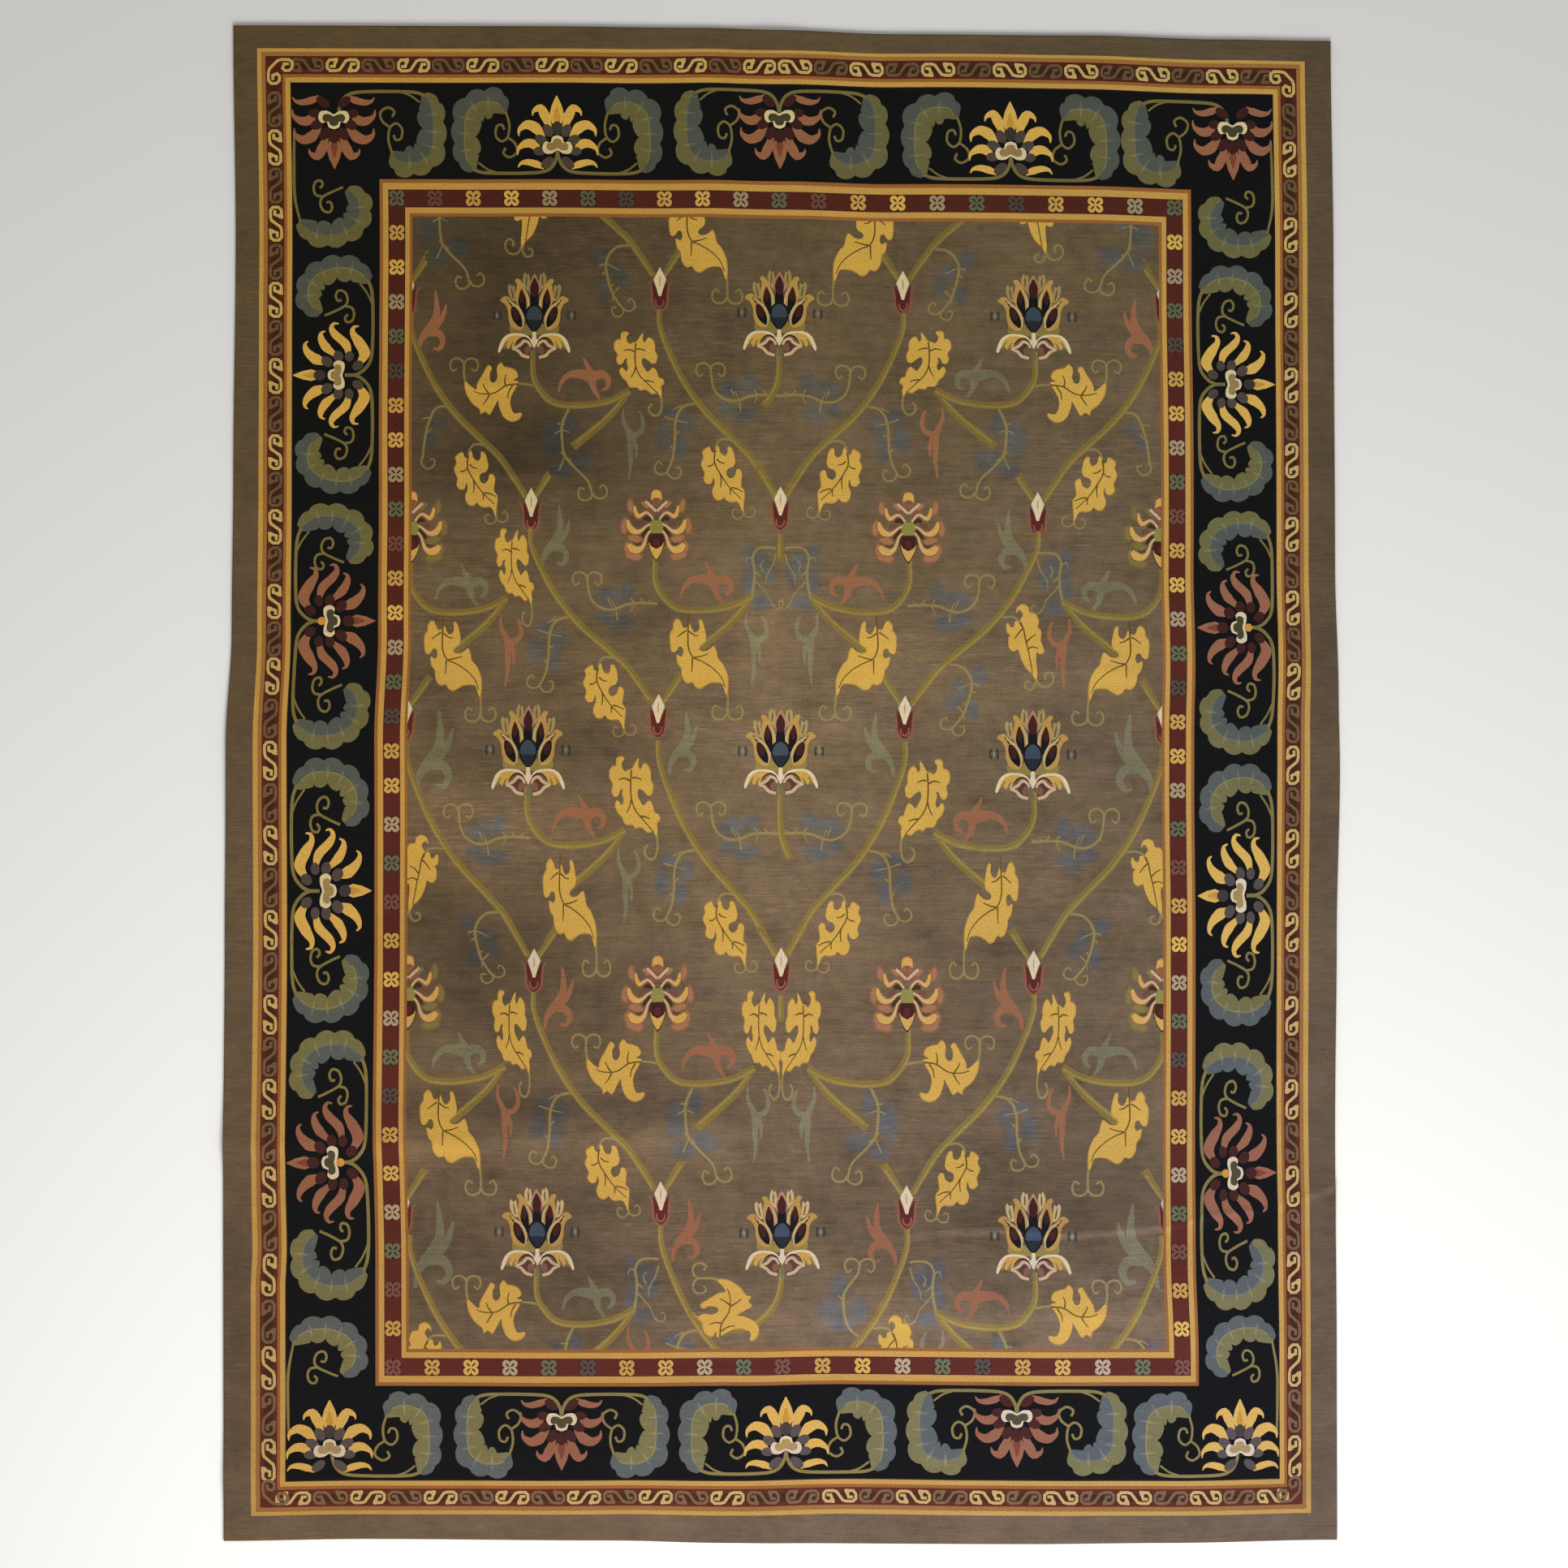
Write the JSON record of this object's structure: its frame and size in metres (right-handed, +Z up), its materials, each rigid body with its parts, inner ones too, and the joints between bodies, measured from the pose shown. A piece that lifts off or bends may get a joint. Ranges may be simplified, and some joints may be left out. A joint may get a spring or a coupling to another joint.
{
  "type": "tibetan rug",
  "caption": "Large hand-knotted Tibetan wool rug lying flat, with soft storage folds, a lotus-scroll main border between two guard bands, and a lattice of palmettes and leaves.",
  "frame": {"origin": "under the middle of the rug, on the floor", "axes": "+X across the rug, +Y along it, +Z up out of the pile"},
  "size_m": [2.765, 3.761, 0.017],
  "materials": {
    "knotted_wool": "clipped wool pile, matt"
  },
  "bodies": {
    "root": {"rug": "knotted_wool"}
  },
  "joints": []
}
